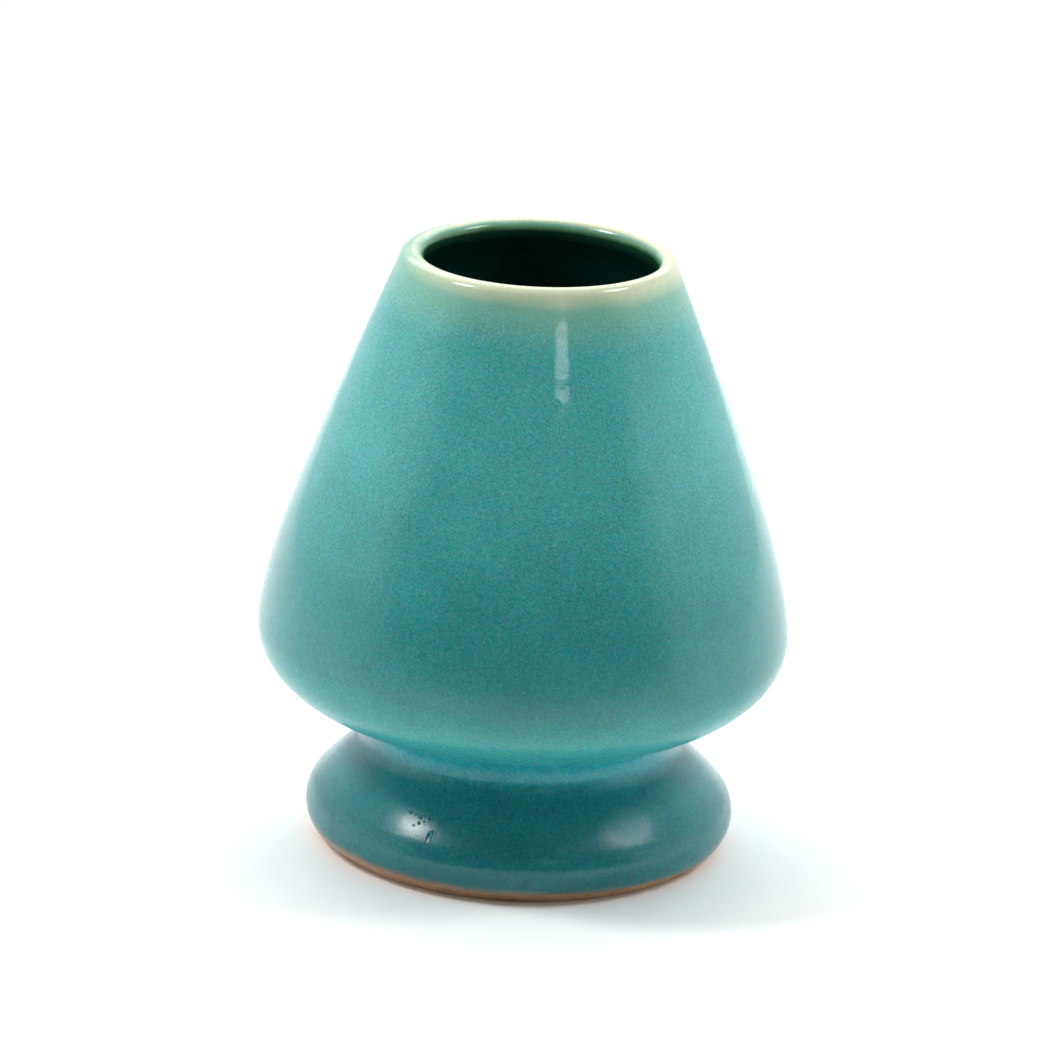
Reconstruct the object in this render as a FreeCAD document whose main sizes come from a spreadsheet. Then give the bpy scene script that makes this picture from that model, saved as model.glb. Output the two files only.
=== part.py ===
import FreeCAD, Part

import math
import os

import Sketcher

# Stoneware whisk stand: a hollow bulb luted onto a flared hollow foot, then glazed.
#
# Every piece is turned about +Z, the stand rests on z = 0, and lengths are in millimetres. The
# outline is a chain of tangent arcs. The glazed sizes are the finished outside, and the clay lies
# under them by the thickness of the glaze, which is thin over the lip and pools in the neck.

# ---------------------------------------------------------------- driving sizes

SIZES = (
    ("overall_height", 72.0, "table to the crest of the lip"),
    ("mouth_radius", 13.8, "glazed opening that takes the inner tines of the whisk"),
    ("mouth_land", 3.0, "straight length of the opening under the lip"),
    ("lip_round", 1.3, "radius of the rolled lip, over the glaze"),
    ("throat_round", 10.0, "easing from the straight opening into the cavity"),
    ("wall_round", 524.0, "slight fullness of the tapering wall"),
    ("haunch_end", 15.5, "height above the widest point at which the fuller haunch ends"),
    ("haunch_start", 1.05, "height above the widest point at which it starts, over the glaze"),
    ("belly_radius", 31.5, "widest radius of the bulb, over the glaze"),
    ("shoulder_round", 7.7, "turn of the bulb at its widest point"),
    ("under_round", 15.0, "underside of the bulb"),
    ("under_rise", 1.75, "clay of the underside, from the hollow of the neck to the shoulder's turn"),
    ("neck_radius", 18.6, "narrowest radius between bulb and foot, over the glaze"),
    ("neck_round", 3.0, "hollow of the neck, over the glaze"),
    ("flare_round", 37.0, "top of the foot, from the neck to its edge"),
    ("flare_rise", 2.0, "clay of the foot's top, from the edge's turn to the hollow of the neck"),
    ("foot_radius", 25.5, "widest radius of the foot, over the glaze"),
    ("foot_edge_height", 3.8, "widest point of the foot above the table"),
    ("foot_edge_round", 4.2, "turn of the foot at its widest point"),
    ("glaze_line", 1.2, "height of the bare bevel at the base, where the outside glaze stops"),
    ("standing_ring", 5.6, "inner edge of the standing ring, in from the foot's widest radius"),
    ("ring_ease", 0.4, "eased edges of the standing ring"),
    ("recess_glaze_line", 2.0, "height under the foot at which its glaze stops"),
    ("clay_wall", 3.0, "clay of the bulb's wall"),
    ("floor_clay", 5.4, "clay floor of the cavity"),
    ("floor_round", 12.0, "corner between the floor and the wall of the cavity, in the clay"),
    ("foot_clay", 3.6, "clay of the foot where it is luted to the bulb"),
    ("luting_thickness", 0.6, "joining slip between bulb and foot"),
    ("luting_bead", 3.0, "slip smoothed into the corner under the bulb"),
    ("lip_glaze", 0.25, "glaze where it runs thin over the lip"),
    ("body_glaze", 0.45, "glaze on the bulb"),
    ("neck_glaze", 0.8, "glaze pooled in the neck"),
    ("foot_glaze", 0.4, "glaze on the foot"),
    ("liner_glaze", 0.35, "glaze in the cavity"),
    ("recess_glaze", 0.35, "glaze under the foot"),
)

document = FreeCAD.newDocument("whisk_stand")
sheet = document.addObject("Spreadsheet::Sheet", "Sizes")
for row, (alias, number, meaning) in enumerate(SIZES, start=1):
    sheet.set(f"A{row}", alias)
    sheet.set(f"B{row}", str(number))
    sheet.set(f"C{row}", meaning)
    sheet.setAlias(f"B{row}", alias)
document.recompute()


class Size:
    """A length, with the spreadsheet expression that gives it."""

    def __init__(self, value, text):
        self.value = value
        self.text = text

    def __add__(self, other):
        if other is NONE:
            return self
        return Size(self.value + other.value, f"({self.text} + {other.text})")

    def __sub__(self, other):
        if other is NONE:
            return self
        return Size(self.value - other.value, f"({self.text} - {other.text})")

    def __mul__(self, other):
        return Size(self.value * other.value, f"({self.text} * {other.text})")

    def __truediv__(self, other):
        return Size(self.value / other.value, f"({self.text} / {other.text})")


NONE = Size(0.0, "0")
FREE = ""
TWO = Size(2.0, "2")


def size(alias):
    return Size(float(sheet.get(alias)), f"{sheet.Name}.{alias}")


# ---------------------------------------------------------------- plane geometry


def at(across, up):
    """A point of a profile: distance from the axis, and height above the table."""
    return FreeCAD.Vector(across, up, 0)


STEEPEST = math.radians(80)
HALVINGS = 60
OUTWARD = at(1, 0)
INWARD = at(-1, 0)
UPWARD = at(0, 1)
DOWNWARD = at(0, -1)


def unit(start, end):
    return (end - start).normalize()


def left_of(direction):
    """The direction turned a quarter anticlockwise."""
    return at(-direction.y, direction.x)


def at_height(start, direction, height):
    """Where the line from a point along a direction reaches a height."""
    return start + direction * ((height - start.y) / direction.y)


class Round:
    """A circle of the outline, whose centre is held by sizes or by the circles that it touches."""

    def __init__(self, label, radius, centre=None, across=None, up=None):
        self.label, self.radius, self.across, self.up = label, radius, across, up
        self.centre = centre or at(across.value, up.value)

    def rim(self, direction):
        return self.centre + direction * self.radius.value

    def rim_at_height(self, height, side):
        rise = height.value - self.centre.y
        return self.centre + at(math.sqrt(self.radius.value**2 - rise**2) * side.x, rise)


def touch(first, second):
    """Where two circles touch, side by side or one inside the other."""
    larger, smaller = sorted((first, second), key=lambda circle: -circle.radius.value)
    return larger.rim(unit(larger.centre, smaller.centre))


def centre_between(first, first_reach, second, second_reach):
    """The point at two given distances from two others that lies nearer to the axis."""
    span = (second - first).Length
    along = (first_reach**2 - second_reach**2 + span**2) / (2 * span)
    aside = math.sqrt(first_reach**2 - along**2)
    foot = first + unit(first, second) * along
    offset = left_of(unit(first, second)) * aside
    return min(foot + offset, foot - offset, key=lambda point: point.x)


def round_between(label, radius, held, neighbour):
    """An arc around one circle that touches a second one from outside."""
    held_reach = radius.value - held.radius.value
    neighbour_reach = radius.value + neighbour.radius.value
    centre = centre_between(held.centre, held_reach, neighbour.centre, neighbour_reach)
    return Round(label, radius, centre)


def haunch_and_wall(shoulder, turn, haunch_end, wall_radius, top, top_inside):
    """Centres of the haunch and the wall, which run from the shoulder up to the circle at the top.

    The haunch leaves the shoulder at a given turn from level and ends at a given height. Its other
    end's turn is halved down until the wall that follows it touches the top circle.
    """
    start = shoulder.rim(at(math.cos(turn), math.sin(turn)))
    reach = wall_radius.value + top.radius.value * (-1 if top_inside else 1)
    least, most = turn, STEEPEST

    def centres(end_turn):
        radius = (haunch_end.value - start.y) / (math.sin(end_turn) - math.sin(turn))
        haunch = start - at(math.cos(turn), math.sin(turn)) * radius
        spare = wall_radius.value - radius
        return radius, haunch, haunch - at(math.cos(end_turn), math.sin(end_turn)) * spare

    for _ in range(HALVINGS):
        middle = (least + most) / 2
        radius, haunch, wall = centres(middle)
        if (top.centre - wall).Length < reach:
            least = middle
        else:
            most = middle
    return radius, haunch, wall


class Stretch:
    """One line or arc of a profile, from a start to an end. Every arc turns less than half round."""

    def __init__(self, label, start, end, circle=None):
        self.label, self.start, self.end, self.circle = label, start, end, circle

    def reversed(self):
        return Stretch(self.label, self.end, self.start, self.circle)

    def anticlockwise(self):
        centre = self.circle.centre
        return (self.start - centre).cross(self.end - centre).z > 0

    def heading(self, point):
        """The direction of travel at a point of the stretch."""
        if not self.circle:
            return unit(self.start, self.end)
        across = left_of(unit(self.circle.centre, point))
        return across if self.anticlockwise() else -across

    def geometry(self):
        """The sketch geometry, and the numbers that the sketch gives its start, end and centre."""
        if not self.circle:
            return Part.LineSegment(self.start, self.end), {"start": 1, "end": 2}
        ends = [self.start, self.end] if self.anticlockwise() else [self.end, self.start]
        spokes = [point - self.circle.centre for point in ends]
        first_angle, last_angle = [math.atan2(spoke.y, spoke.x) for spoke in spokes]
        if last_angle < first_angle:
            last_angle += math.tau
        whole = Part.Circle(self.circle.centre, FreeCAD.Vector(0, 0, 1), self.circle.radius.value)
        arc = Part.ArcOfCircle(whole, first_angle, last_angle)
        first = 1 if self.anticlockwise() else 2
        return arc, {"start": first, "end": 3 - first, "centre": 3}


def chain(items, points):
    """Stretches through the points, each along a circle or along a straight line named by its label."""
    stretches = []
    for item, start, end in zip(items, points, points[1:]):
        circle = item if isinstance(item, Round) else None
        stretches.append(Stretch(circle.label if circle else item, start, end, circle))
    return stretches


def backwards(stretches):
    return [stretch.reversed() for stretch in reversed(stretches)]


# ---------------------------------------------------------------- turned bodies


class TurnedBody:
    """A body turned about the axis from one closed profile, bound to the spreadsheet."""

    SMOOTH = 1e-6
    ORIGIN, ACROSS_AXIS, UP_AXIS = (-1, 1), -1, -2

    def __init__(self, label, stretches):
        self.body = document.addObject("PartDesign::Body", label)
        self.body.Label = label
        self.body.Placement = FreeCAD.Placement()
        self.sketch = self.body.newObject("Sketcher::SketchObject", f"{label}_profile")
        plane = [feature for feature in self.body.Origin.OriginFeatures if feature.Role == "XZ_Plane"]
        self.sketch.AttachmentSupport = [(plane[0], "")]
        self.sketch.MapMode = "FlatFace"
        self.drawn = {}
        self.draw(stretches)

    def rule(self, kind, *places):
        self.sketch.addConstraint(Sketcher.Constraint(kind, *places))

    def bind(self, name, length, kind, *places):
        index = self.sketch.addConstraint(Sketcher.Constraint(kind, *places, length.value))
        self.sketch.renameConstraint(index, name)
        self.sketch.setExpression(f"Constraints.{name}", length.text)

    def draw(self, stretches):
        for stretch in stretches:
            shape, ends = stretch.geometry()
            self.drawn[stretch.label] = (self.sketch.addGeometry(shape, False), ends)
        for before, after in zip(stretches[-1:] + stretches, stretches):
            turn = before.heading(before.end).getAngle(after.heading(after.start))
            joint = "Tangent" if math.sin(turn) < self.SMOOTH else "Coincident"
            self.rule(joint, *self.point(before.label, "end"), *self.point(after.label, "start"))
        for stretch in stretches:
            circle = stretch.circle
            if circle and circle.radius.text:
                self.bind(f"{stretch.label}_radius", circle.radius, "Radius", self.line(stretch.label))
            if circle:
                self.place(stretch.label, "centre", circle.across, circle.up)

    def line(self, label):
        return self.drawn[label][0]

    def point(self, label, where):
        geometry, ends = self.drawn[label]
        return geometry, ends[where]

    def place(self, label, where, across=None, up=None):
        """Holds a point at a distance from the axis, at a height, or both."""
        for length, way, axis in ((across, "X", self.UP_AXIS), (up, "Y", self.ACROSS_AXIS)):
            if length is NONE:
                self.rule("PointOnObject", *self.point(label, where), axis)
            elif length:
                name = f"{label}_{where}_{way.lower()}"
                self.bind(name, length, f"Distance{way}", *self.ORIGIN, *self.point(label, where))

    def guide(self, label, start, end):
        """A construction line through two held points."""
        ends = Part.LineSegment(at(start[0].value, start[1].value), at(end[0].value, end[1].value))
        self.drawn[label] = (self.sketch.addGeometry(ends, True), {"start": 1, "end": 2})
        self.place(label, "start", *start)
        self.place(label, "end", *end)

    def turn(self):
        turned = self.body.newObject("PartDesign::Revolution", f"{self.body.Name}_turned")
        turned.Profile = self.sketch
        turned.ReferenceAxis = (self.sketch, ["V_Axis"])
        turned.Angle = 360
        self.sketch.Visibility = False
        document.recompute()
        return self.body


# ---------------------------------------------------------------- shared surfaces

crest_radius = size("mouth_radius") + size("lip_round")
lip_up = size("overall_height") - size("lip_round")
neck_hollow = size("neck_round") + size("neck_glaze")
edge_turn = size("foot_edge_round") - size("foot_glaze")
shoulder_turn = size("shoulder_round") - size("body_glaze")
neck_up = size("foot_edge_height") + edge_turn + size("flare_rise") + neck_hollow
belly_up = neck_up + neck_hollow + size("under_rise") + shoulder_turn
bulb_seat_up = neck_up + size("luting_thickness") / TWO
foot_top_up = neck_up - size("luting_thickness") / TWO
recess_top_radius = size("neck_radius") - size("neck_glaze") - size("foot_clay")
recess_foot_radius = size("foot_radius") - size("standing_ring")


class SideWall:
    """Shoulder, haunch and wall of the bulb at a depth under its finished outside."""

    def __init__(self, label, depth, top, top_inside):
        across = size("belly_radius") - size("shoulder_round")
        radius = size("shoulder_round") - depth
        wall_radius = size("wall_round") - depth
        turn = math.asin(size("haunch_start").value / size("shoulder_round").value)
        self.haunch_start = belly_up + size("haunch_start") * (radius / size("shoulder_round"))
        self.haunch_end = belly_up + size("haunch_end")
        self.shoulder = Round(f"{label}_shoulder", radius, across=across, up=belly_up)
        haunch_radius, haunch, wall = haunch_and_wall(
            self.shoulder, turn, self.haunch_end, wall_radius, top, top_inside
        )
        self.haunch = Round(f"{label}_haunch", Size(haunch_radius, FREE), haunch)
        self.wall = Round(f"{label}_wall", wall_radius, wall)
        self.circles = [self.wall, self.haunch, self.shoulder]

    def hold(self, body, lower, upper):
        """Holds the heights of the haunch's ends, named by the stretch's own start and end."""
        body.place(self.haunch.label, lower, up=self.haunch_start)
        body.place(self.haunch.label, upper, up=self.haunch_end)


class Outside:
    """The outside of the stand: over the glaze, or over the clay when coats are given."""

    def __init__(self, label, lip_coat=NONE, body_coat=NONE, neck_coat=NONE, foot_coat=NONE):
        self.lip = Round(f"{label}_lip", size("lip_round") - lip_coat, across=crest_radius, up=lip_up)
        self.side = SideWall(label, body_coat, self.lip, True)
        self.neck = Round(
            f"{label}_neck",
            size("neck_round") + neck_coat,
            across=size("neck_radius") + size("neck_round"),
            up=neck_up,
        )
        self.edge = Round(
            f"{label}_edge",
            size("foot_edge_round") - foot_coat,
            across=size("foot_radius") - size("foot_edge_round"),
            up=size("foot_edge_height"),
        )
        under = size("under_round") - body_coat
        flare = size("flare_round") - foot_coat
        self.under = round_between(f"{label}_under", under, self.side.shoulder, self.neck)
        self.flare = round_between(f"{label}_flare", flare, self.edge, self.neck)
        self.crest = self.lip.rim(UPWARD)
        self.glaze_end = self.edge.rim_at_height(size("glaze_line"), OUTWARD)

    def bulb_run(self, lip_start, neck_end):
        circles = [self.lip, *self.side.circles, self.under, self.neck]
        touches = [touch(*pair) for pair in zip(circles, circles[1:])]
        return chain(circles, [lip_start, *touches, neck_end])

    def foot_run(self, neck_start):
        circles = [self.neck, self.flare, self.edge]
        touches = [touch(*pair) for pair in zip(circles, circles[1:])]
        return chain(circles, [neck_start, *touches, self.glaze_end])

    def whole_run(self):
        """From the crest of the lip down to the end of the glaze."""
        bulb = self.bulb_run(self.crest, touch(self.neck, self.flare))
        return bulb + self.foot_run(touch(self.neck, self.flare))[1:]


class Inside:
    """The inside of the bulb: over its glaze, or over the clay when coats are given."""

    def __init__(self, label, lip, lip_coat=NONE, liner_coat=NONE):
        self.label, self.lip = label, lip
        self.floor_up = bulb_seat_up + size("floor_clay") + liner_coat
        depth = size("body_glaze") + size("clay_wall") + liner_coat
        self.throat = Round(
            f"{label}_throat",
            size("throat_round") - lip_coat,
            across=size("mouth_radius") + size("throat_round"),
            up=lip_up - size("mouth_land"),
        )
        self.side = SideWall(label, depth, self.throat, False)
        shoulder = self.side.shoulder
        corner = size("floor_round") - liner_coat
        corner_up = self.floor_up.value + corner.value
        rise = corner_up - shoulder.centre.y
        across = shoulder.centre.x - math.sqrt((corner.value - shoulder.radius.value) ** 2 - rise**2)
        self.corner = Round(f"{label}_corner", corner, at(across, corner_up))

    def run(self, lip_start):
        """From the lip down the opening and the wall to the middle of the floor."""
        circles = [self.throat, *self.side.circles, self.corner]
        touches = [touch(*pair) for pair in zip(circles, circles[1:])]
        land = [self.lip.rim(INWARD), self.throat.rim(INWARD)]
        floor = [self.corner.rim(DOWNWARD), at(0, self.floor_up.value)]
        items = [self.lip, f"{self.label}_land", *circles, f"{self.label}_floor"]
        return chain(items, [lip_start, *land, *touches, *floor])

    def hold_floor(self, body):
        floor = f"{self.label}_floor"
        body.rule("Horizontal", body.line(floor))
        body.place(floor, "end", NONE, self.floor_up)


glazed = Outside("glazed")
clay = Outside("clay", size("lip_glaze"), size("body_glaze"), size("neck_glaze"), size("foot_glaze"))
liner = Inside("liner", glazed.lip, liner_coat=size("liner_glaze"))
cavity = Inside("cavity", clay.lip, lip_coat=size("lip_glaze"))

recess_top = at(recess_top_radius.value, foot_top_up.value)
recess_foot = at(recess_foot_radius.value, 0)
recess_slope = unit(recess_foot, recess_top)
bulb_seat_edge = clay.neck.rim_at_height(bulb_seat_up, INWARD)
foot_top_edge = clay.neck.rim_at_height(foot_top_up, INWARD)


def bead_round(label, coat=NONE):
    """The smoothed slip in the corner between the recess's sloping side and the bulb's underside."""
    radius = size("luting_bead")
    inner_side = recess_foot + left_of(recess_slope) * radius.value
    centre = at_height(inner_side, recess_slope, bulb_seat_up.value - radius.value)
    return Round(label, radius - coat, centre)


def recess_guide(body):
    body.guide("recess_side", (recess_top_radius, foot_top_up), (recess_foot_radius, NONE))
    return body.line("recess_side")


# ---------------------------------------------------------------- pieces


def make_bulb():
    """The thrown clay vessel: a closed floor, a wall of even thickness and a rolled lip."""
    seat_middle = at(0, bulb_seat_up.value)
    floor_middle = at(0, cavity.floor_up.value)
    outer = backwards(clay.bulb_run(clay.lip.rim(INWARD), bulb_seat_edge))
    inner = cavity.run(clay.crest)[1:]
    closing = chain(["axis", "seat"], [floor_middle, seat_middle, bulb_seat_edge])
    body = TurnedBody("bulb", outer + inner + closing)
    clay.side.hold(body, lower="start", upper="end")
    cavity.side.hold(body, lower="end", upper="start")
    cavity.hold_floor(body)
    body.place("seat", "start", NONE, bulb_seat_up)
    body.rule("Horizontal", body.line("seat"))
    return body.turn()


def make_foot():
    """The flared clay foot: a ring with a sloping recess, a bare bevel and a flat standing ring."""
    downhill = clay.edge.centre - clay.glaze_end
    bevel_foot = at_height(clay.glaze_end, left_of(downhill), 0)
    lower = chain(["bevel", "ring", "side", "top"], [
        clay.glaze_end,
        bevel_foot,
        recess_foot,
        recess_top,
        foot_top_edge,
    ])
    body = TurnedBody("foot", clay.foot_run(foot_top_edge) + lower)
    body.place("clay_edge", "end", up=size("glaze_line"))
    body.place("ring", "start", up=NONE)
    body.place("side", "start", recess_foot_radius, NONE)
    body.place("side", "end", recess_top_radius, foot_top_up)
    body.rule("Horizontal", body.line("top"))
    foot = body.turn()
    turned = foot.Tip
    ring_edges = [
        f"Edge{number}"
        for number, edge in enumerate(turned.Shape.Edges, start=1)
        if edge.BoundBox.ZMax < size("ring_ease").value / 2
    ]
    eased = foot.newObject("PartDesign::Fillet", "foot_eased")
    eased.Base = (turned, ring_edges)
    eased.setExpression("Radius", size("ring_ease").text)
    return foot


def make_luting_slip():
    """The slip that joins foot to bulb, squeezed out and smoothed into the corner inside."""
    bead = bead_round("bead")
    roof_touch = bead.rim(UPWARD)
    side_touch = bead.rim(-left_of(recess_slope))
    body = TurnedBody("luting_slip", chain(["seat", clay.neck, "foot_top", "side", bead], [
        roof_touch,
        bulb_seat_edge,
        foot_top_edge,
        recess_top,
        side_touch,
        roof_touch,
    ]))
    body.place("seat", "start", up=bulb_seat_up)
    body.rule("Horizontal", body.line("seat"))
    body.place("foot_top", "end", recess_top_radius, foot_top_up)
    body.rule("Horizontal", body.line("foot_top"))
    body.rule("Parallel", body.line("side"), recess_guide(body))
    return body.turn()


def make_outer_glaze():
    """The glaze outside, from the crest of the lip to the bevel at the base."""
    stop = chain(["stop"], [glazed.glaze_end, clay.glaze_end])
    crest = chain(["crest"], [clay.crest, glazed.crest])
    stretches = glazed.whole_run() + stop + backwards(clay.whole_run()) + crest
    body = TurnedBody("outer_glaze", stretches)
    glazed.side.hold(body, lower="end", upper="start")
    clay.side.hold(body, lower="start", upper="end")
    body.place("stop", "start", up=size("glaze_line"))
    body.place("stop", "end", up=size("glaze_line"))
    body.place("crest", "end", across=crest_radius)
    body.rule("Vertical", body.line("crest"))
    return body.turn()


def make_liner_glaze():
    """The glaze inside, from the crest of the lip over the cavity's wall and floor."""
    floors = [at(0, liner.floor_up.value), at(0, cavity.floor_up.value)]
    crest = chain(["crest"], [clay.crest, glazed.crest])
    skin = liner.run(glazed.crest) + chain(["axis"], floors) + backwards(cavity.run(clay.crest))
    body = TurnedBody("liner_glaze", skin + crest)
    liner.side.hold(body, lower="end", upper="start")
    cavity.side.hold(body, lower="start", upper="end")
    for face, middle in ((liner, "end"), (cavity, "start")):
        body.rule("Horizontal", body.line(f"{face.label}_floor"))
        body.place(f"{face.label}_floor", middle, NONE, face.floor_up)
    body.place("crest", "end", across=crest_radius)
    body.rule("Vertical", body.line("crest"))
    return body.turn()


def make_recess_glaze():
    """The glaze under the foot, over the bulb's underside and down the recess to its own line."""
    coat = size("recess_glaze")
    line_up = size("recess_glaze_line").value
    bead = bead_round("bead")
    skin_bead = bead_round("glazed_bead", coat)
    slope_side = left_of(recess_slope)
    skin_side = recess_foot + slope_side * coat.value
    body = TurnedBody("recess_glaze", chain(
        ["roof", bead, "side", "stop", "glazed_side", skin_bead, "glazed_roof", "axis"],
        [
            at(0, bulb_seat_up.value),
            bead.rim(UPWARD),
            bead.rim(-slope_side),
            at_height(recess_foot, recess_slope, line_up),
            at_height(skin_side, recess_slope, line_up),
            skin_bead.rim(-slope_side),
            skin_bead.rim(UPWARD),
            at(0, bulb_seat_up.value - coat.value),
            at(0, bulb_seat_up.value),
        ],
    ))
    guide = recess_guide(body)
    body.place("roof", "start", NONE, bulb_seat_up)
    body.rule("Horizontal", body.line("roof"))
    body.rule("Tangent", body.line("side"), guide)
    body.place("stop", "start", up=size("recess_glaze_line"))
    body.rule("Horizontal", body.line("stop"))
    body.rule("Parallel", body.line("glazed_side"), guide)
    body.rule("Coincident", *body.point("glazed_bead", "centre"), *body.point("bead", "centre"))
    body.rule("Horizontal", body.line("glazed_roof"))
    body.place("glazed_roof", "end", across=NONE)
    return body.turn()


pieces = [
    make_bulb(),
    make_foot(),
    make_luting_slip(),
    make_outer_glaze(),
    make_liner_glaze(),
    make_recess_glaze(),
]

# ---------------------------------------------------------------- checks and files

document.recompute()
for item in document.Objects:
    if "Invalid" in item.State or "Error" in item.State:
        raise RuntimeError(f"{item.Label} failed: {item.State}")
    if item.isDerivedFrom("Sketcher::SketchObject") and item.solve():
        raise RuntimeError(f"{item.Label} has constraints that can't be met")

os.makedirs("parts", exist_ok=True)
for piece in pieces:
    shape = piece.Shape
    if shape.isNull() or not shape.isValid() or len(shape.Solids) != 1:
        raise RuntimeError(f"{piece.Label} isn't one valid solid")
    box = shape.optimalBoundingBox()
    extent = f"out to {box.XMax:.2f}, from {box.ZMin:.2f} up to {box.ZMax:.2f}"
    print(f"{piece.Label}: {shape.Volume:.1f} mm3, {extent}")
    shape.exportStep(f"parts/{piece.Label}.step")
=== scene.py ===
import math

import bmesh
import bpy
from bpy.props import FloatProperty, FloatVectorProperty, IntProperty, PointerProperty
from mathutils import Matrix, Vector, geometry, noise


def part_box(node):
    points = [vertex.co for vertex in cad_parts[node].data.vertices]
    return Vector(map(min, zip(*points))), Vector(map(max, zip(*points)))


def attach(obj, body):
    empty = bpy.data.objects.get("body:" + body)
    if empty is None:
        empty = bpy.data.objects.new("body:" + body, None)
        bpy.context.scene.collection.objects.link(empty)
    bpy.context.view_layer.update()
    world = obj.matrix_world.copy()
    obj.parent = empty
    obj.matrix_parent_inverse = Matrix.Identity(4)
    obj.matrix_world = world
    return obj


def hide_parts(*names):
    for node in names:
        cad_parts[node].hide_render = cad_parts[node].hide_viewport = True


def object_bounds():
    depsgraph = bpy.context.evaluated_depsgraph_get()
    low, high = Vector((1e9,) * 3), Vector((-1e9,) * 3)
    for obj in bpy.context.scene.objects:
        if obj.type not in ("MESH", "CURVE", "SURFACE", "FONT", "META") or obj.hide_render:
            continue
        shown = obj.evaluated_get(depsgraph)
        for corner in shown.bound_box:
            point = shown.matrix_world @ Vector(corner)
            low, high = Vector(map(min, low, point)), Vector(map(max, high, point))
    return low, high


bl_info = {
    "name": "Whisk Stand",
    "version": (1, 0, 0),
    "blender": (4, 5, 0),
    "location": "View3D > Sidebar > Whisk Stand",
    "description": "Builds a turned and glazed stoneware stand for a tea whisk, with its studio",
    "category": "Add Mesh",
}

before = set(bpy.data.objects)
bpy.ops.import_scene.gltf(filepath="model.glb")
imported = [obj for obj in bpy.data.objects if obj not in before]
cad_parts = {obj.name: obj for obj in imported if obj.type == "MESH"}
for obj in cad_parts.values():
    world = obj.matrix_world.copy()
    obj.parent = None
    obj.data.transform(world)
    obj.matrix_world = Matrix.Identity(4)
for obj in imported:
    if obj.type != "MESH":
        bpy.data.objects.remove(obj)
cad_low, cad_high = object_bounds()

MM = 0.001
GLAZE_LOW, GLAZE_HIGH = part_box("outer_glaze")
BULB_LOW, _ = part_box("bulb")
_, FOOT_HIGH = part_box("foot")
LINER_LOW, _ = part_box("liner_glaze")
RECESS_LOW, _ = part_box("recess_glaze")


def mm(value):
    """A length given in millimetres, in metres."""
    return value * MM


# ---------------------------------------------------------------- fixed numbers

# The outline and its meshes.
STEEPEST = math.radians(80)
HALVINGS = 50
BEND_STEP = math.radians(5)
CORNER = math.radians(50)
NEARLY_ZERO = mm(0.001)
HIDDEN_STEP = 4
HIDDEN_SEGMENTS = 128
BEAD_STEP = mm(0.2)
RECESS_STEP = mm(0.5)
BEVEL_STEP = mm(0.35)
ROLL_STEP = mm(0.06)

# The throwing spiral: its pitch, the heights where it begins and ends, and how near the axis.
SPIRAL_PITCH = mm(4.3)
SPIRAL_STARTS = (mm(2), mm(8))
SPIRAL_ENDS = (mm(64), mm(70))
SPIRAL_INNER = (mm(5), mm(15))

# Out of round: where each wave starts, how far it twists on the way up, and the second one's share.
OVAL_START, OVAL_TWIST = 0.9, 1.6
TREFOIL_START, TREFOIL_TWIST, TREFOIL_SHARE = -1.1, 2.3, 0.6

# The glaze line's waves round the foot: how close they are, and each one's share.
LINE_WAVES = ((3.1, 1), (9.7, 0.5), (31, 0.25))

# Heights where the foot's own shift gives way to the bulb's, and bare clay to glaze.
FOOT_TO_BULB = (mm(7), mm(19))
BARE_TO_GLAZED = (mm(0.9), mm(1.6))

# Sandy clay: the size of its lumps, and how far they wear back.
FINE_GRIT, FINE_GRIT_PUSH = mm(0.7), mm(0.03)
COARSE_GRIT, COARSE_GRIT_PUSH = mm(3), mm(0.05)

# The pitted part of the foot's glaze. A pit is (degrees, height, radius, depth) in millimetres.
# LEAN is how far the surface rises there for a length along it.
LEAN = 0.7
PITTED = (mm(6.6), mm(9.4))
PITTED_TURN = (234, 248)
PITS = (
    (244.6, 7.25, 0.26, 0.11),
    (245.3, 7.5, 0.18, 0.09),
    (236.1, 8.7, 0.15, 0.1),
    (238.1, 8.65, 0.11, 0.08),
    (239.8, 8.5, 0.16, 0.12),
    (241.1, 8.7, 0.11, 0.08),
    (243.0, 8.6, 0.17, 0.12),
    (240.1, 8.0, 0.13, 0.09),
    (238.8, 7.7, 0.1, 0.06),
    (241.6, 8.15, 0.1, 0.06),
)
PIT_CORE = 0.7
PIT_RIM_HEIGHT, PIT_RIM_REACH, PIT_RIM_WIDTH = 0.3, 1.2, 0.3
FINE_SEGMENTS = 96
FINE_RING_STEP = mm(0.09)

# Marks on the surface, as (degrees, radius, height) in millimetres.
SCUFF = (-55.2, 22.5, 8.5)
GREENER_LIP = (160, 15, 72)
BLISTERS = ((-82.3, 20.8, 59.8), (-82.8, 23.7, 52.7), (-83.3, 26.7, 44.7))

# Finishes. A skin is the depth of a glaze's pitted surface. A tilt is a rise per length along X.
IOR = 1.47
TILT = 0.02
LINER_TILT = 0.015
GREENER_SHIFT = mm(-1.6)
GLAZE_SKIN = mm(0.012)
RECESS_SKIN = mm(0.015)
LIP_CONTRAST = 0.25
FOOT_ROUGHNESS, WALL_ROUGHNESS, LIP_ROUGHNESS = 0.24, 0.08, 0.13
LINER_ROUGHNESS, RECESS_ROUGHNESS = 0.2, 0.24
SCUFF_ROUGHNESS, SCUFF_RISE = 0.32, 1.4
BLISTER_SIZE, BLISTER_RISE = mm(0.7), 4.5

# The stage. The tent's front and roof fade in between these values of a direction's Y and Z.
TENT_FRONT = (-0.6, -0.2)
TENT_ROOF = (0.3, 0.6)
FLOOR_REACH = 0.42
CLIP = (mm(10), 20)


def length(name, default, description):
    return FloatProperty(name=name, description=description, default=mm(default), unit="LENGTH")


def colour(name, default, description):
    return FloatVectorProperty(
        name=name, description=description, default=default, size=3, min=0, max=1, subtype="COLOR"
    )


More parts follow.
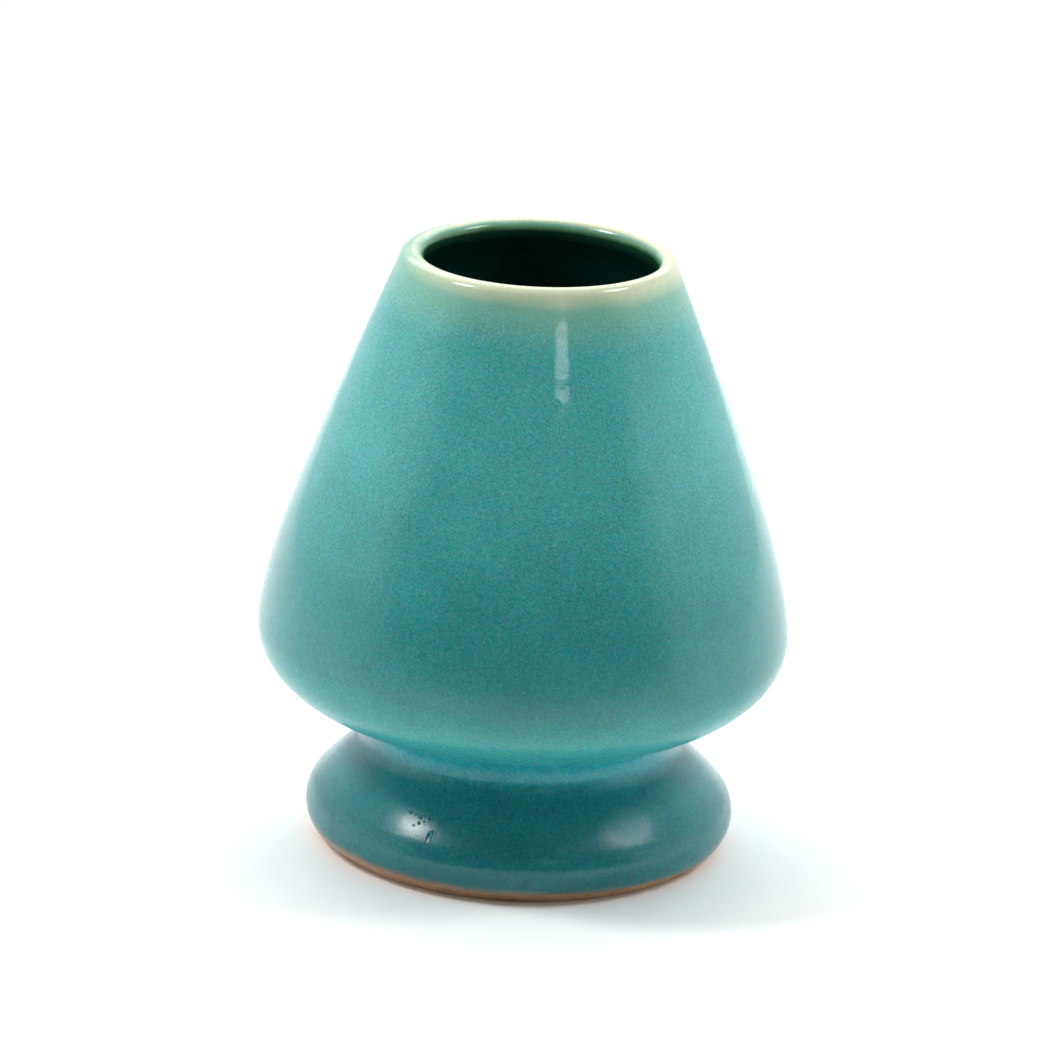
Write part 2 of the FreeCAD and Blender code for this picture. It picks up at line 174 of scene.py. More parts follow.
def angle(name, default, description):
    return FloatProperty(
        name=name, description=description, default=math.radians(default), subtype="ANGLE"
    )


# ---------------------------------------------------------------- settings


class StandSizes(bpy.types.PropertyGroup):
    """Sizes of the turned outline that the frame's boxes don't give."""

    mouth_radius: length("Mouth radius", 13.8, "Radius of the glazed opening")
    mouth_land: length("Mouth land", 3.0, "Straight length of the opening below the lip")
    lip_round: length("Lip round", 1.3, "Radius of the rolled lip")
    throat_round: length("Throat round", 10.0, "Easing from the opening into the cavity")
    wall_round: length("Wall round", 524.0, "Slight fullness of the tapering wall")
    haunch_start: length("Haunch start", 1.05, "Start of the haunch above the widest point")
    haunch_end: length("Haunch end", 15.5, "End of the haunch above the widest point")
    belly_height: length("Belly height", 26.2, "Widest point of the bulb above the table")
    shoulder_round: length("Shoulder round", 7.7, "Turn of the bulb at its widest point")
    under_round: length("Underside round", 15.0, "Underside of the bulb")
    neck_radius: length("Neck radius", 18.6, "Narrowest radius between bulb and foot")
    neck_round: length("Neck round", 3.0, "Hollow of the neck")
    flare_round: length("Flare round", 37.0, "Top of the foot")
    foot_radius: length("Foot radius", 25.5, "Widest radius of the foot")
    foot_edge_height: length("Foot edge height", 3.8, "Widest point of the foot above the table")
    foot_edge_round: length("Foot edge round", 4.2, "Turn of the foot at its widest point")
    standing_ring: length("Standing ring", 5.6, "Recess edge, in from the foot's widest radius")
    ring_ease: length("Ring ease", 0.4, "Softened edges of the standing ring")
    wall_depth: length("Wall", 3.8, "Clay and both glazes of the bulb's wall")
    floor_round: length("Floor round", 11.65, "Corner between the cavity's floor and wall")
    bead_round: length("Bead round", 3.0, "Slip smoothed into the corner under the bulb")
    lip_glaze: length("Lip glaze", 0.25, "Glaze where it runs thin over the lip")
    body_glaze: length("Body glaze", 0.45, "Glaze on the bulb and foot")
    neck_glaze: length("Neck glaze", 0.8, "Glaze pooled in the neck")
    glaze_roll: length("Glaze roll", 0.25, "Rolled lower edge of the glaze")
    liner_glaze: length("Liner glaze", 0.35, "Glaze in the cavity and under the foot")


class HandMaking(bpy.types.PropertyGroup):
    """How far the thrown piece departs from a true turned shape, and how finely it is meshed."""

    mouth_shift: length("Mouth shift", 0.35, "How far the opening sits off the lip's centre")
    foot_shift: length("Foot shift", 0.4, "How far the foot sits off the bulb's centre")
    wobble: length("Wobble", 0.1, "Out-of-round of the bulb and foot")
    throwing: length("Throwing marks", 0.012, "Depth of the faint spiral left by the fingers")
    line_wander: length("Glaze line wander", 0.14, "Rise and fall of the glaze's lower edge")
    segments: IntProperty(name="Segments", description="Faces round the axis", default=288, min=24)
    ring_step: length("Ring step", 0.8, "Spacing of the rings along the outline")


class GlazeColours(bpy.types.PropertyGroup):
    """Colours of the finished surfaces."""

    cream: colour("Cream", (0.62, 0.68, 0.47), "Glaze broken thin over the lip")
    celadon: colour("Celadon", (0.20, 0.47, 0.36), "Thin glaze below the lip")
    turquoise: colour("Turquoise", (0.072, 0.40, 0.38), "Glaze on the bulb's wall")
    belly: colour("Belly", (0.034, 0.275, 0.265), "Thicker glaze round the belly")
    # Thin glaze under the belly, made lighter still as painted light that stands for light bounced up
    # from the paper.
    underside: colour("Underside", (0.066, 0.455, 0.43), "Thin glaze under the belly")
    pooled: colour("Pooled", (0.025, 0.40, 0.46), "Glaze pooled blue in the neck")
    foot: colour("Foot", (0.016, 0.215, 0.225), "Thick glaze on the foot")
    speck: colour("Speck", (0.16, 0.20, 0.12), "Brown iron specks in the glaze")
    # Moss-green glaze, made dark as painted shade where the throat starts to fall into shadow.
    moss_and_shade: colour("Moss", (0.010, 0.060, 0.030), "Glaze turning dark just inside the lip")
    olive: colour("Olive", (0.12, 0.32, 0.15), "Thin glaze on the inner side of the lip")
    well: colour("Well", (0.035, 0.24, 0.21), "Glaze low down in the cavity")
    # Painted shade: near black, standing for the shadow inside the cavity rather than a colour of the
    # glaze.
    cavity_shade: colour("Deep", (0.001, 0.018, 0.014), "Glaze inside the cavity")
    fringe: colour("Fringe", (0.40, 0.22, 0.12), "Glaze edge where it meets bare clay")
    clay: colour("Clay", (0.64, 0.42, 0.25), "Bare fired clay")
    clay_dark: colour("Toasted clay", (0.40, 0.22, 0.11), "Clay toasted at the very edge")


class StageSettings(bpy.types.PropertyGroup):
    """Camera and lamps. Azimuth 0 is in front, at -Y, and grows towards +X."""

    lens: FloatProperty(name="Lens", description="Focal length", default=212.2, unit="CAMERA")
    distance: length("Distance", 735.5, "Camera to the middle of the stand")
    elevation: angle("Elevation", 18.21, "Camera above the horizon")
    roll: angle("Roll", 2.47, "Tilt of the camera about its own axis")
    aim_up: length("Aim up", 2.083, "How far above the stand's middle the camera looks")
    aim_right: length("Aim right", 0.106, "How far right of the stand's middle it looks")
    left_lamp: FloatProperty(name="Left lamp", description="Brightness", default=26.0, min=0)
    right_lamp: FloatProperty(name="Right lamp", description="Brightness", default=11.0, min=0)
    back_lamp: FloatProperty(name="Back lamp", description="Brightness", default=2.2, min=0)
    strip_lamp: FloatProperty(name="Front lamp", description="Brightness", default=5.5, min=0)
    tent: FloatProperty(name="Tent", description="Radiance of its walls", default=1.75, min=0)
    backdrop: FloatProperty(name="Backdrop", description="Tent in reflections", default=1.0, min=0)
    roof: FloatProperty(name="Roof", description="Share in the tent's roof", default=0.4, min=0)
    front: FloatProperty(name="Front", description="Share in the open front", default=0.02, min=0)
    floor: colour("Floor", (0.82, 0.82, 0.82), "Paper that the stand rests on")


# ---------------------------------------------------------------- outline


class Circle:
    """A circle of the outline: (distance from the axis, height) of its centre, and its radius."""

    def __init__(self, across, up, radius):
        self.centre = Vector((across, up))
        self.radius = radius

    def rim(self, direction):
        return self.centre + direction.normalized() * self.radius

    def at_height(self, height):
        rise = height - self.centre.y
        return self.centre + Vector((math.sqrt(self.radius**2 - rise**2), rise))


INWARD = Vector((-1, 0))
UPWARD = Vector((0, 1))
DOWNWARD = Vector((0, -1))


def touch(first, second):
    """Where two circles touch, side by side or one inside the other."""
    larger, smaller = sorted((first, second), key=lambda circle: -circle.radius)
    return larger.rim(smaller.centre - larger.centre)


def around(held, neighbour, radius):
    """The circle that holds one circle and touches a second from outside, nearer to the axis."""
    first, second = radius - held.radius, radius + neighbour.radius
    line = neighbour.centre - held.centre
    along = (first**2 - second**2 + line.length_squared) / (2 * line.length)
    aside = math.sqrt(first**2 - along**2)
    line.normalize()
    foot = held.centre + line * along
    offset = Vector((-line.y, line.x)) * aside
    centre = min(foot + offset, foot - offset, key=lambda point: point.x)
    return Circle(*centre, radius)


def side_circles(sizes, depth, top, top_inside):
    """Wall, haunch and shoulder of the bulb at a depth under its finished outside."""
    across = GLAZE_HIGH[0] - sizes.shoulder_round
    shoulder = Circle(across, sizes.belly_height, sizes.shoulder_round)
    turn = math.asin(sizes.haunch_start / sizes.shoulder_round)
    shoulder.radius -= depth
    start = shoulder.rim(Vector((math.cos(turn), math.sin(turn))))
    rise = sizes.belly_height + sizes.haunch_end - start.y
    wall_radius = sizes.wall_round - depth
    reach = wall_radius + top.radius * (-1 if top_inside else 1)
    least, most = turn, STEEPEST
    for _ in range(HALVINGS):
        end_turn = (least + most) / 2
        radius = rise / (math.sin(end_turn) - math.sin(turn))
        haunch = start - Vector((math.cos(turn), math.sin(turn))) * radius
        spare = wall_radius - radius
        wall = haunch - Vector((math.cos(end_turn), math.sin(end_turn))) * spare
        if (top.centre - wall).length < reach:
            least = end_turn
        else:
            most = end_turn
    return [Circle(*wall, wall_radius), Circle(*haunch, radius), shoulder]


def trace(stops, step):
    """Points along arcs and lines. Between two stops is their arc's circle, or None for a line."""
    points = [stops[0]]
    for circle, end in zip(stops[1::2], stops[2::2]):
        start = points[-1]
        if circle is None:
            count = max(1, round((end - start).length / step))
            points += [start.lerp(end, number / count) for number in range(1, count + 1)]
            continue
        spoke, last = start - circle.centre, end - circle.centre
        turn = spoke.angle_signed(last)
        bend_step = min(step, circle.radius * BEND_STEP)
        count = max(1, round(abs(turn) * circle.radius / bend_step))
        points += [
            circle.centre + Matrix.Rotation(-turn * number / count, 2) @ spoke
            for number in range(1, count + 1)
        ]
    return points


def linked(circles):
    """The circles, with the points where each touches the next between them."""
    stops = [circles[0]]
    for before, after in zip(circles, circles[1:]):
        stops += [touch(before, after), after]
    return stops


def lip_circle(sizes):
    radius = sizes.lip_round
    return Circle(sizes.mouth_radius + radius, GLAZE_HIGH[2] - radius, radius)


def neck_circle(sizes):
    return Circle(sizes.neck_radius + sizes.neck_round, neck_height(), sizes.neck_round)


def neck_height():
    """The foot is luted on in the middle of the gap between bulb and foot."""
    return (BULB_LOW[2] + FOOT_HIGH[2]) / 2


def outside(sizes, step):
    """The finished outside, from the crest of the lip down to the end of the glaze."""
    lip, neck = lip_circle(sizes), neck_circle(sizes)
    edge = Circle(
        sizes.foot_radius - sizes.foot_edge_round, sizes.foot_edge_height, sizes.foot_edge_round
    )
    side = side_circles(sizes, 0, lip, True)
    under = around(side[-1], neck, sizes.under_round)
    flare = around(edge, neck, sizes.flare_round)
    circles = linked([lip, *side, under, neck, flare, edge])
    return trace([lip.rim(UPWARD), *circles, edge.at_height(GLAZE_LOW[2] + sizes.glaze_roll)], step)


def inside(sizes, step):
    """The finished inside, from the crest of the lip down to the middle of the floor."""
    lip = lip_circle(sizes)
    throat = Circle(
        sizes.mouth_radius + sizes.throat_round,
        GLAZE_HIGH[2] - sizes.lip_round - sizes.mouth_land,
        sizes.throat_round,
    )
    side = side_circles(sizes, sizes.wall_depth, throat, False)
    shoulder = side[-1]
    floor = LINER_LOW[2] + sizes.liner_glaze
    up = floor + sizes.floor_round
    reach = sizes.floor_round - shoulder.radius
    across = shoulder.centre.x - math.sqrt(reach**2 - (up - shoulder.centre.y) ** 2)
    corner = Circle(across, up, sizes.floor_round)
    land = [lip.rim(UPWARD), lip, lip.rim(INWARD), None, throat.rim(INWARD)]
    bottom = [corner.rim(DOWNWARD), None, Vector((0, floor))]
    return trace([*land, *linked([throat, *side, corner]), *bottom], step)


# ---------------------------------------------------------------- hand-made form


def eased(value, start, end):
    """0 at start, 1 at end, and a smooth rise between them."""
    part = min(max((value - start) / (end - start), 0), 1)
    return part * part * (3 - 2 * part)


def eased_through(stops, value):
    """A smooth run through (place, amount) stops in rising order."""
    amount = stops[0][1]
    for (start, before), (end, after) in zip(stops, stops[1:]):
        amount += (after - before) * eased(value, start, end)
    return amount


def outer_coat(sizes, up):
    """Thickness of the glaze outside, at a height: thin over the lip and pooled in the neck."""
    return eased_through(
        [
            (sizes.foot_edge_height, sizes.body_glaze),
            (neck_height(), sizes.neck_glaze),
            (sizes.belly_height, sizes.body_glaze),
            (GLAZE_HIGH[2], sizes.lip_glaze),
        ],
        up,
    )


def inner_coat(sizes, up):
    """Thickness of the glaze in the cavity, at a height."""
    lip_foot = GLAZE_HIGH[2] - sizes.lip_round - sizes.mouth_land
    return eased_through([(lip_foot, sizes.liner_glaze), (GLAZE_HIGH[2], sizes.lip_glaze)], up)


def sunk(points, coat, sizes, side):
    """The outline moved into the clay by its coat. The clay is on the right (1) or the left (-1)."""
    moved = []
    for number, point in enumerate(points):
        before = points[max(number - 1, 0)]
        after = points[min(number + 1, len(points) - 1)]
        run = (after - before).normalized()
        moved.append(point + Vector((run.y, -run.x)) * side * coat(sizes, point.y))
    moved[0].x = points[0].x
    return moved


class Thrown:
    """Turns an ideal point (radius, angle, height) into its place on the hand-made piece."""

    def __init__(self, sizes, making):
        self.sizes = sizes
        self.making = making
        self.lip_foot = GLAZE_HIGH[2] - sizes.lip_round - 2 * sizes.mouth_land
        self.crest = sizes.mouth_radius + sizes.lip_round

    def out_of_round(self, angle, up):
        """How far the surface stays inside the true circle."""
        slow = up / GLAZE_HIGH[2]
        oval = math.cos(2 * angle + OVAL_START + OVAL_TWIST * slow)
        trefoil = math.cos(3 * angle + TREFOIL_START + TREFOIL_TWIST * slow)
        most = 1 + TREFOIL_SHARE
        return self.making.wobble * (most - oval - TREFOIL_SHARE * trefoil) / (2 * most)

    def place(self, across, angle, up):
        making, sizes = self.making, self.sizes
        across -= self.out_of_round(angle, up) * min(across / sizes.mouth_radius, 1)
        spiral = math.cos(2 * math.pi * up / SPIRAL_PITCH - angle)
        standing = eased(up, *SPIRAL_STARTS) * (1 - eased(up, *SPIRAL_ENDS))
        across += making.throwing * (spiral - 1) / 2 * standing * eased(across, *SPIRAL_INNER)
        foot = 1 - eased(up, *FOOT_TO_BULB)
        mouth = eased(up, self.lip_foot, GLAZE_HIGH[2] - sizes.lip_round)
        mouth *= 1 - eased(across, sizes.mouth_radius, self.crest + sizes.lip_round)
        shift = making.foot_shift * foot + making.mouth_shift * mouth
        return Vector((across * math.cos(angle) + shift, across * math.sin(angle), up))


def lathe(name, outline, thrown, angles, finish_point=None):
    """A closed turned mesh from a closed outline. Points on the axis become one vertex."""
    mesh = bmesh.new()
    rings = []
    for across, up in outline:
        if across < NEARLY_ZERO:
            rings.append([mesh.verts.new(thrown.place(0, 0, up))])
            continue
        ring = []
        for turn in angles:
            point = thrown.place(across, turn, up)
            if finish_point:
                point = finish_point(point, across, turn, up)
            ring.append(mesh.verts.new(point))
        rings.append(ring)
    for ring, following in zip(rings, rings[1:] + rings[:1]):
        if len(ring) == 1 and len(following) == 1:
            continue
        for number in range(len(angles)):
            later = (number + 1) % len(angles)
            corners = [ring[number % len(ring)], ring[later % len(ring)]]
            corners += [following[later % len(following)], following[number % len(following)]]
            mesh.faces.new(dict.fromkeys(corners))
    bmesh.ops.recalc_face_normals(mesh, faces=mesh.faces)
    return add_piece(name, mesh)


def add_piece(name, mesh):
    """A smooth-shaded object from a bmesh, with its real corners kept sharp."""
    data = bpy.data.meshes.new(name)
    mesh.to_mesh(data)
    mesh.free()
    data.shade_smooth()
    data.set_sharp_from_angle(angle=CORNER)
    piece = bpy.data.objects.new(name, data)
    bpy.context.scene.collection.objects.link(piece)
    return piece


def even_angles(count):
    return [2 * math.pi * number / count for number in range(count)]


# ---------------------------------------------------------------- nodes


class Nodes:
    """A node tree being built. Every call but add gives back the output of what it made."""

    def __init__(self, tree):
        self.tree = tree

    def add(self, kind, inputs, **settings):
        node = self.tree.nodes.new(kind)
        for name, value in settings.items():
            setattr(node, name, value)
        for name, value in inputs.items():
            if isinstance(value, bpy.types.NodeSocket):
                self.tree.links.new(value, node.inputs[name])
            else:
                node.inputs[name].default_value = value
        return node

    def math(self, operation, *values):
        node = self.add("ShaderNodeMath", dict(enumerate(values)), operation=operation)
        return node.outputs[0]

    def mix(self, factor, first, second):
        node = self.add("ShaderNodeMix", {0: factor, 6: first, 7: second}, data_type="RGBA")
        return node.outputs[2]

    def shifted(self, place, amount):
        """The place moved far enough for another noise there to be unlike the first."""
        inputs = {0: place, 1: (amount, amount, amount)}
        return self.add("ShaderNodeVectorMath", inputs).outputs["Vector"]

    def noise(self, place, grain, detail=2.0, roughness=0.5):
        """Noise from 0 to 1 whose lumps are about one grain across."""
        inputs = {"Vector": place, "Scale": 1 / grain, "Detail": detail, "Roughness": roughness}
        return self.add("ShaderNodeTexNoise", inputs).outputs["Fac"]

    def fade(self, value, low, high):
        """0 at low, 1 at high, and a smooth rise between them."""
        inputs = {"Value": value, "From Min": low, "From Max": high}
        node = self.add("ShaderNodeMapRange", inputs, interpolation_type="SMOOTHSTEP")
        return node.outputs[0]

    def bands(self, value, stops):
        """Colours by value, from (value, colour) stops in rising order."""
        low, high = stops[0][0], stops[-1][0]
        share = self.add("ShaderNodeMapRange", {"Value": value, "From Min": low, "From Max": high})
        ramp = self.add("ShaderNodeValToRGB", {"Fac": share.outputs[0]})
        elements = ramp.color_ramp.elements
        while len(elements) < len(stops):
            elements.new(0.5)
        for element, (place, _) in zip(elements, stops):
            element.position = (place - low) / (high - low)
        for element, (_, tint) in zip(elements, stops):
            element.color = (*tint, 1)
        return ramp.outputs["Color"]


def new_group(name, inputs, outputs):
    """A shader node group with named sockets, and the builder for its tree."""
    tree = bpy.data.node_groups.new(name, "ShaderNodeTree")
    for socket, kind, default in inputs:
        item = tree.interface.new_socket(socket, in_out="INPUT", socket_type=f"NodeSocket{kind}")
        item.default_value = default
    for socket, kind in outputs:
        tree.interface.new_socket(socket, in_out="OUTPUT", socket_type=f"NodeSocket{kind}")
    nodes = Nodes(tree)
    return nodes, nodes.add("NodeGroupInput", {}).outputs


def place_group(nodes, name, inputs):
    node = nodes.tree.nodes.new("ShaderNodeGroup")
    node.node_tree = bpy.data.node_groups[name]
    for socket, value in inputs.items():
        if isinstance(value, bpy.types.NodeSocket):
            nodes.tree.links.new(value, node.inputs[socket])
        else:
            node.inputs[socket].default_value = value
    return node.outputs


def build_mottle():
    """The fine broken colour and pitted skin of a fired glaze."""
    nodes, given = new_group(
        "Glaze mottle",
        [
            ("Place", "Vector", (0, 0, 0)),
            ("Glaze", "Color", (0.1, 0.4, 0.4, 1)),
            ("Fleck", "Color", (0.2, 0.2, 0.1, 1)),
            ("Fleck amount", "Float", 0.2),
            ("Contrast", "Float", 0.2),
        ],
        [("Color", "Color"), ("Height", "Float"), ("Roughness", "Float")],
    )
    place = given["Place"]
    cloud = nodes.noise(place, mm(7), detail=3)
    fine = nodes.noise(place, mm(0.5), detail=3, roughness=0.8)
    grain = nodes.noise(place, mm(0.22), detail=2, roughness=0.8)
    fine_share, grain_share, cloud_share = 0.5, 1.6, 0.4
    hue_swing, wash_out, satin_swing = 0.16, 0.75, 0.12
    balance = -(fine_share + grain_share + cloud_share) / 2
    light = nodes.math("MULTIPLY_ADD", fine, fine_share, nodes.math("MULTIPLY", grain, grain_share))
    light = nodes.math("ADD", light, nodes.math("MULTIPLY_ADD", cloud, cloud_share, balance))
    gain = nodes.math("MULTIPLY_ADD", light, given["Contrast"], 1)
    swing = nodes.noise(nodes.shifted(place, 1), mm(1.3), detail=5, roughness=0.8)
    swing = nodes.math("MULTIPLY_ADD", swing, hue_swing, 0.5 - hue_swing / 2)
    washed = nodes.noise(nodes.shifted(place, 2), mm(0.5), detail=4, roughness=0.9)
    wash = nodes.math("MULTIPLY", nodes.math("SUBTRACT", washed, 0.5), given["Contrast"])
    inputs = {
        "Hue": swing,
        "Saturation": nodes.math("MULTIPLY_ADD", wash, -wash_out, 1),
        "Value": gain,
        "Color": given["Glaze"],
    }
    tinted = nodes.add("ShaderNodeHueSaturation", inputs).outputs["Color"]
    flecks = nodes.fade(washed, 0.56, 0.78)
    flecks = nodes.math("MULTIPLY", flecks, given["Fleck amount"])
    speckled = nodes.mix(flecks, tinted, given["Fleck"])
    peel = nodes.noise(place, mm(1.6), detail=2)
    height = nodes.math("MULTIPLY_ADD", grain, 0.12, peel)
    satin = nodes.math("MULTIPLY_ADD", fine, satin_swing, -satin_swing / 2)
    nodes.add("NodeGroupOutput", {"Color": speckled, "Height": height, "Roughness": satin})


def build_clay_grain():
    """Fired clay: sandy grain, dark grog and pale patches."""
    nodes, given = new_group(
        "Clay grain",
        [
            ("Place", "Vector", (0, 0, 0)),
            ("Clay", "Color", (0.3, 0.2, 0.1, 1)),
            ("Toasted", "Color", (0.2, 0.1, 0.05, 1)),
            ("Toast", "Float", 0.3),
        ],
        [("Color", "Color"), ("Height", "Float"), ("Roughness", "Float")],
    )
    place = given["Place"]
    patches = nodes.noise(place, mm(3.5), detail=4, roughness=0.6)
    sand = nodes.noise(place, mm(0.22), detail=3, roughness=0.7)
    grog = nodes.fade(nodes.noise(place, mm(0.5), detail=1), 0.66, 0.74)
    toast = nodes.math("ADD", given["Toast"], nodes.math("SUBTRACT", patches, 0.5))
    toast = nodes.fade(toast, 0.1, 0.9)
    body = nodes.mix(toast, given["Clay"], given["Toasted"])
    sandy = nodes.math("MULTIPLY_ADD", sand, 0.7, 0.65)
    inputs = {"Hue": 0.5, "Saturation": 1.0, "Value": sandy, "Color": body}
    grained = nodes.add("ShaderNodeHueSaturation", inputs).outputs["Color"]
    dark = nodes.mix(nodes.math("MULTIPLY", grog, 0.5), grained, given["Toasted"])
    height = nodes.math("ADD", sand, nodes.math("MULTIPLY", grog, 0.5))
    rough = nodes.math("MULTIPLY_ADD", sand, 0.2, 0.7)
    nodes.add("NodeGroupOutput", {"Color": dark, "Height": height, "Roughness": rough})


def new_material(name):
    material = bpy.data.materials.new(name)
    material.use_nodes = True
    material.node_tree.nodes.clear()
    nodes = Nodes(material.node_tree)
    place = nodes.add("ShaderNodeTexCoord", {}).outputs["Object"]
    return material, nodes, place


def finish_material(nodes, inputs, height, depth):
    """The shader itself, with its pitted surface of the given depth in metres."""
    bump = nodes.add("ShaderNodeBump", {"Height": height, "Distance": depth, "Strength": 1.0})
    shader = nodes.add("ShaderNodeBsdfPrincipled", {**inputs, "Normal": bump.outputs["Normal"]})
    nodes.add("ShaderNodeOutputMaterial", {"Surface": shader.outputs["BSDF"]})


def near_mark(nodes, place, mark, inner, outer):
    """1 inside a round mark on the surface, and 0 outside it. A mark is (degrees, radius, height)."""
    turn, across, up = mark
    turn = math.radians(turn)
    centre = (mm(across) * math.cos(turn), mm(across) * math.sin(turn), mm(up))
    gap = nodes.add("ShaderNodeVectorMath", {0: place, 1: centre}, operation="DISTANCE")
    return nodes.fade(gap.outputs["Value"], outer, inner)


def heights_of(nodes, place, wander, grain, tilt):
    """The height above the table, with the wander and the tilt that dipping leaves."""
    parts = nodes.add("ShaderNodeSeparateXYZ", {"Vector": place}).outputs
    up = nodes.math("MULTIPLY_ADD", parts["X"], tilt, parts["Z"])
    drift = nodes.math("SUBTRACT", nodes.noise(place, grain, detail=3), 0.5)
    return nodes.math("MULTIPLY_ADD", drift, wander, up)


def dimmed(tint, amount):
    """A colour with its light multiplied by the amount."""
    return tuple(amount * part for part in tint)


def outer_glaze_material(tints, sizes):
    """Turquoise glaze that breaks to cream over the lip and pools blue in the neck."""
    material, nodes, place = new_material("turquoise_glaze")
    up = heights_of(nodes, place, wander=mm(1.1), grain=mm(5), tilt=TILT)
    greener = near_mark(nodes, place, GREENER_LIP, inner=mm(5), outer=mm(18))
    up = nodes.math("MULTIPLY_ADD", greener, GREENER_SHIFT, up)
    top = GLAZE_HIGH[2]
    neck = neck_height()
    belly = sizes.belly_height
    glaze = nodes.bands(up, [
        (mm(1.1), tints.fringe),
        # Painted shade: the foot's lowest band is darker than the foot above, standing for the shaded
        # paper that the foot faces.
        (mm(2.1), dimmed(tints.foot, 0.88)),
        (mm(6), dimmed(tints.foot, 0.88)),
        (mm(9), dimmed(tints.foot, 1.15)),
        (neck - mm(1.6), dimmed(tints.foot, 1.15)),
        (neck + mm(0.3), tints.pooled),
        (neck + mm(3), tints.pooled),
        # Painted light: the lighter underside colour stands in part for bounce from the paper.
        (belly - mm(5.5), tints.underside),
        (belly, tints.belly),
        (belly + mm(8), tints.belly),
        (belly + mm(26), tints.turquoise),
        (top - mm(7), tints.turquoise),
        (top - mm(2.2), tints.celadon),
        (top - mm(0.4), tints.cream),
    ])
    below_lip = nodes.fade(up, top - mm(1), top - mm(6))
    contrast = nodes.math("MULTIPLY_ADD", below_lip, 1 - LIP_CONTRAST, LIP_CONTRAST)
    skin = place_group(nodes, "Glaze mottle", {
        "Place": place,
        "Glaze": glaze,
        "Fleck": (*tints.speck, 1),
        "Fleck amount": 0.35,
        "Contrast": contrast,
    })
    wall = nodes.fade(up, belly + mm(2), belly + mm(20))
    rough = nodes.math("MULTIPLY_ADD", wall, WALL_ROUGHNESS - FOOT_ROUGHNESS, FOOT_ROUGHNESS)
    rough = nodes.math("ADD", rough, skin["Roughness"])
    lip = nodes.fade(up, top - mm(2.5), top - mm(1))
    rough = nodes.math("MULTIPLY_ADD", lip, LIP_ROUGHNESS - WALL_ROUGHNESS, rough)
    scuffed = near_mark(nodes, place, SCUFF, inner=mm(1.2), outer=mm(3.6))
    grit = nodes.noise(place, mm(0.35), detail=2, roughness=0.7)
    scuffed = nodes.math("MULTIPLY", scuffed, grit)
    rough = nodes.math("MULTIPLY_ADD", scuffed, SCUFF_ROUGHNESS, rough)
    height = nodes.math("MULTIPLY_ADD", scuffed, SCUFF_RISE, skin["Height"])
    for mark in BLISTERS:
        blister = near_mark(nodes, place, mark, inner=0, outer=BLISTER_SIZE)
        height = nodes.math("MULTIPLY_ADD", blister, BLISTER_RISE, height)
    inputs = {"Base Color": skin["Color"], "Roughness": rough, "IOR": IOR}
    finish_material(nodes, inputs, height, GLAZE_SKIN)
    return material


def liner_glaze_material(tints):
    """The same glaze in the cavity: cream at the lip and speckled below it, then darkened to near
    black down the throat as painted shade, and dark green low down.
    """
    material, nodes, place = new_material("liner_glaze")
    up = heights_of(nodes, place, wander=mm(0.4), grain=mm(2.5), tilt=LINER_TILT)
    top = GLAZE_HIGH[2]
    # From the lip down: cream, celadon and olive glaze, then moss and near-black bands that paint the
    # shade inside the throat, then dark green glaze low down.
    glaze = nodes.bands(up, [
        (top - mm(22), tints.well),
        (top - mm(12), dimmed(tints.well, 0.4)),
        (top - mm(9.5), dimmed(tints.cavity_shade, 5)),
        (top - mm(7), dimmed(tints.cavity_shade, 2)),
        (top - mm(5), dimmed(tints.cavity_shade, 1.2)),
        (top - mm(3.6), dimmed(tints.cavity_shade, 0.7)),
        (top - mm(2.3), dimmed(tints.cavity_shade, 0.7)),
        (top - mm(1.25), tints.moss_and_shade),
        (top - mm(0.8), tints.olive),
        (top - mm(0.45), dimmed(tints.celadon, 0.9)),
        (top - mm(0.1), tints.cream),
    ])
    skin = place_group(nodes, "Glaze mottle", {
        "Place": place,
        "Glaze": glaze,
        "Fleck": (*tints.speck, 1),
        "Fleck amount": nodes.math("MULTIPLY", nodes.fade(up, top - mm(3), top - mm(1)), 0.4),
        "Contrast": 0.4,
    })
    rough = nodes.math("ADD", LINER_ROUGHNESS, skin["Roughness"])
    inputs = {"Base Color": skin["Color"], "Roughness": rough, "IOR": IOR}
    finish_material(nodes, inputs, skin["Height"], GLAZE_SKIN)
    return material


def recess_glaze_material(tints):
    """A thin wash of the glaze under the foot, with the clay showing through its worn places."""
    material, nodes, place = new_material("recess_glaze")
    thin = nodes.fade(nodes.noise(place, mm(5), detail=4, roughness=0.6), 0.5, 0.72)
    glaze = nodes.mix(nodes.math("MULTIPLY", thin, 0.6), (*tints.pooled, 1), (*tints.celadon, 1))
    skin = place_group(nodes, "Glaze mottle", {
        "Place": place,
        "Glaze": glaze,
        "Fleck": (*tints.clay, 1),
        "Fleck amount": 0.45,
        "Contrast": 0.5,
    })
    rough = nodes.math("ADD", RECESS_ROUGHNESS, skin["Roughness"])
    inputs = {"Base Color": skin["Color"], "Roughness": rough, "IOR": IOR}
    finish_material(nodes, inputs, skin["Height"], RECESS_SKIN)
    return material


def clay_material(name, tints, toast, sandiness):
    """Bare fired stoneware."""
    material, nodes, place = new_material(name)
    grain = place_group(nodes, "Clay grain", {
        "Place": place,
        "Clay": (*tints.clay, 1),
        "Toasted": (*tints.clay_dark, 1),
        "Toast": toast,
    })
    inputs = {"Base Color": grain["Color"], "Roughness": grain["Roughness"], "IOR": IOR}
    finish_material(nodes, inputs, grain["Height"], sandiness)
    return material


# ---------------------------------------------------------------- the pieces


def settings():
    """The sizes, the marks of the hand and the colours that the scene holds."""
    scene = bpy.context.scene
    return scene.stand_sizes, scene.hand_making, scene.glaze_colours


def seat_piece(piece, node, material):
    """Gives a piece its finish and puts it in the frame in place of its plain node."""
    piece.data.materials.append(material)
    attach(piece, "root")
    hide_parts(node)


